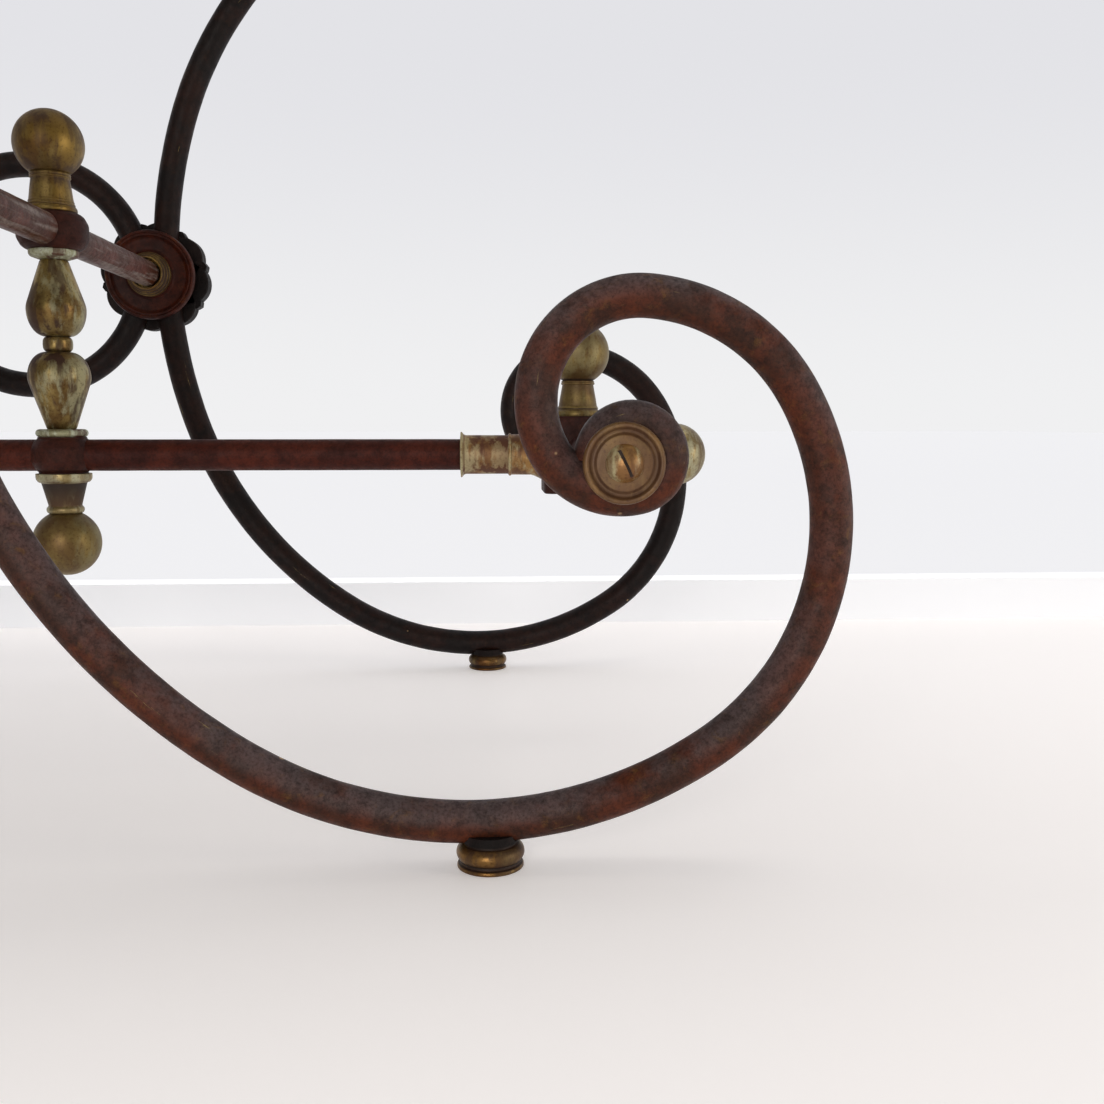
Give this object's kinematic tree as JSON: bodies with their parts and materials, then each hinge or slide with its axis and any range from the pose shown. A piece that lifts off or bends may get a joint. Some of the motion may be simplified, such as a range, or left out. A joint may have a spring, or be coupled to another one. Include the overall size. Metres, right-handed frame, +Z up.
{
  "type": "scroll-leg work table",
  "caption": "Long table on forged scroll legs: round-bar iron frames joined by cross bars and a stretcher, turned brass spindles, finials and feet, loose marble slab.",
  "frame": {"origin": "on the floor under the middle of the table", "axes": "+X along the table's length, +Y from the front leg frame to the rear one, +Z up"},
  "size_m": [1.36, 0.64, 0.8258],
  "materials": {
    "iron": "rust-patinated wrought iron",
    "dark_iron": "near-black oxidised iron",
    "aged_brass": "aged, stained and verdigrised brass",
    "steel_rod": "dull steel",
    "marble": "honed white marble"
  },
  "bodies": {
    "base": {"ring_front": "iron", "leg_front_right": "iron", "disc_front_right": "iron", "rosette_front_right": "dark_iron", "leg_front_left": "iron", "disc_front_left": "iron", "rosette_front_left": "dark_iron", "ring_rear": "iron", "leg_rear_right": "iron", "disc_rear_right": "iron", "rosette_rear_right": "dark_iron", "leg_rear_left": "iron", "disc_rear_left": "iron", "rosette_rear_left": "dark_iron", "upper_crossbar_right": "iron", "lower_crossbar_right": "iron", "upper_hub_right": "iron", "lower_hub_right": "iron", "end_hub_right": "iron", "spindle_rod_right": "steel_rod", "top_ball_right": "aged_brass", "top_neck_right": "aged_brass", "upper_vase_right": "aged_brass", "bead_right": "aged_brass", "lower_vase_right": "aged_brass", "bottom_neck_right": "aged_brass", "bottom_ball_right": "aged_brass", "stretcher_collar_right": "aged_brass", "upright_finial_right": "aged_brass", "end_finial_right": "aged_brass", "upper_crossbar_left": "iron", "lower_crossbar_left": "iron", "upper_hub_left": "iron", "lower_hub_left": "iron", "end_hub_left": "iron", "spindle_rod_left": "steel_rod", "top_ball_left": "aged_brass", "top_neck_left": "aged_brass", "upper_vase_left": "aged_brass", "bead_left": "aged_brass", "lower_vase_left": "aged_brass", "bottom_neck_left": "aged_brass", "bottom_ball_left": "aged_brass", "stretcher_collar_left": "aged_brass", "upright_finial_left": "aged_brass", "end_finial_left": "aged_brass", "bar_collars": "aged_brass", "hub_washers": "aged_brass", "eye_discs": "aged_brass", "eye_screws": "aged_brass", "feet": "aged_brass", "stretcher": "iron", "foot_pads": "dark_iron", "top_saddles": "dark_iron", "top_screws": "steel_rod", "top_rail_front": "dark_iron", "top_rail_rear": "dark_iron", "top_rail_right": "dark_iron", "top_rail_left": "dark_iron"},
    "slab": {"marble_slab": "marble"}
  },
  "joints": [
    {"name": "slab_lift", "type": "slide", "parent": "base", "child": "slab", "axis": [0, 0, 1], "range_m": [0, 0.08]}
  ]
}
